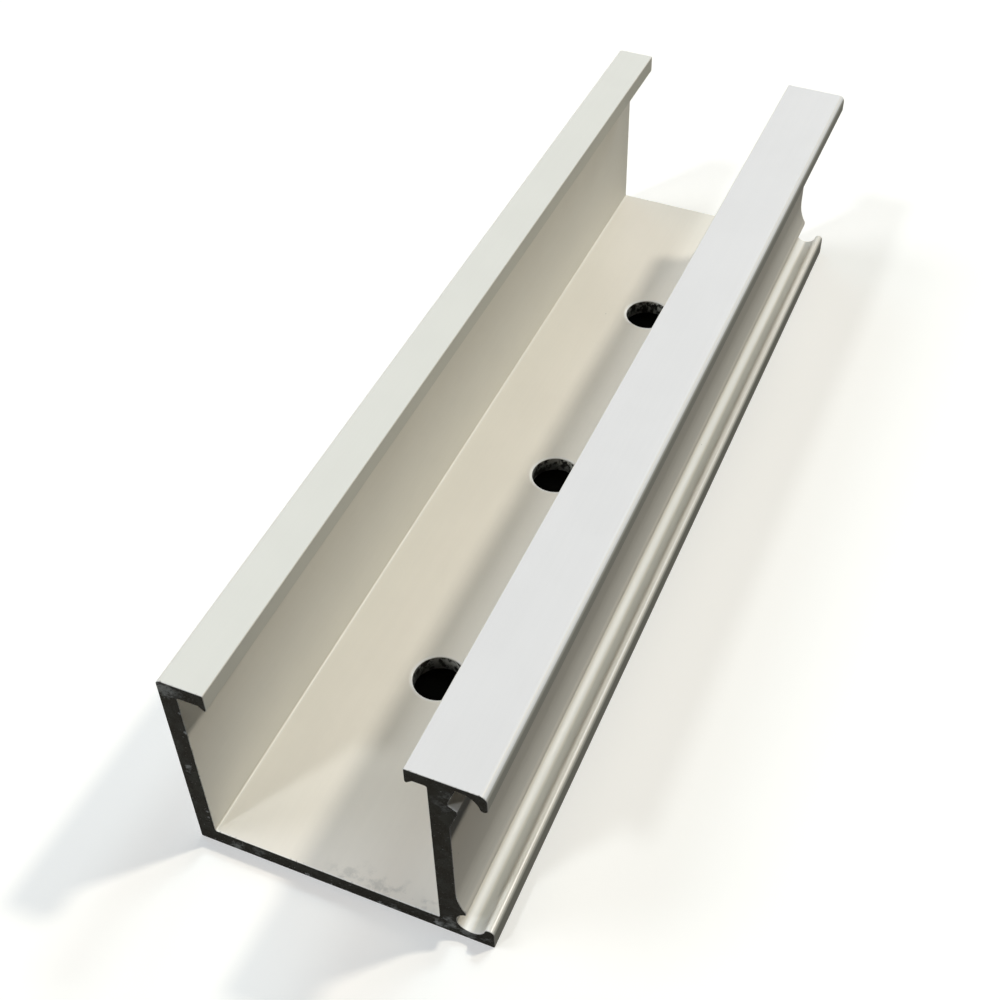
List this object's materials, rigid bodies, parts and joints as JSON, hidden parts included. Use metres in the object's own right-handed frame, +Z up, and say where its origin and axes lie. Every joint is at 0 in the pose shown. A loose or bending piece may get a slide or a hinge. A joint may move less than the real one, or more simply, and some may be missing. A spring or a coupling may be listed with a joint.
{
  "type": "solar mounting rail",
  "caption": "Short piece of coated aluminium mounting rail: open channel with two lips, a hooked side flange, a grooved foot and drilled floor holes.",
  "frame": {"origin": "centre of the underside: middle of the overall width, middle of the cut length, on the plane that the rail lies on", "axes": "+Y along the rail, from the end nearest the camera in the picture to the far end; +Z up, out of the channel's open mouth; +X across, towards the side with the hooked flange and the grooved foot"},
  "size_m": [0.05, 0.183, 0.04],
  "materials": {
    "coated_aluminium": "satin warm off-white coat over extruded aluminium, bare and darkened on the sawn ends and in the drilled holes"
  },
  "bodies": {
    "root": {"mounting_rail": "coated_aluminium"}
  },
  "joints": []
}
